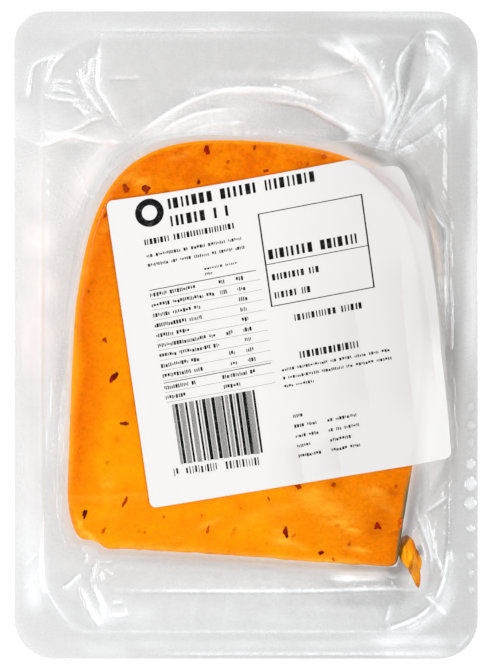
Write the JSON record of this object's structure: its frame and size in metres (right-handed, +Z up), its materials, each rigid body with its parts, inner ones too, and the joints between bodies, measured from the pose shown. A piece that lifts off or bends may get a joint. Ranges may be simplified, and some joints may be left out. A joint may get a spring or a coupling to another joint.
{
  "type": "vacuum-packed gouda cheese wedge",
  "caption": "Flat-backed clear vacuum pack with a wide sealed border, drawn tightly over a sloping wedge of orange chilli gouda, with a square paper label across its front.",
  "frame": {"origin": "middle of the pack's outline, on the surface that it lies on", "axes": "+Y from the wedge's thin tip to its thick rim end, along the pack's length; +Z up out of the front of the pack; +X across the pack, to the right as its front is seen"},
  "size_m": [0.136, 0.19, 0.0434],
  "materials": {
    "film_over_cheese": "glossy clear film drawn down on orange cheese flecked with chilli, clear and creased on the border",
    "label_paper": "satin white coated paper, printed in black"
  },
  "bodies": {
    "root": {"pack": "film_over_cheese", "label": "label_paper"}
  },
  "joints": []
}
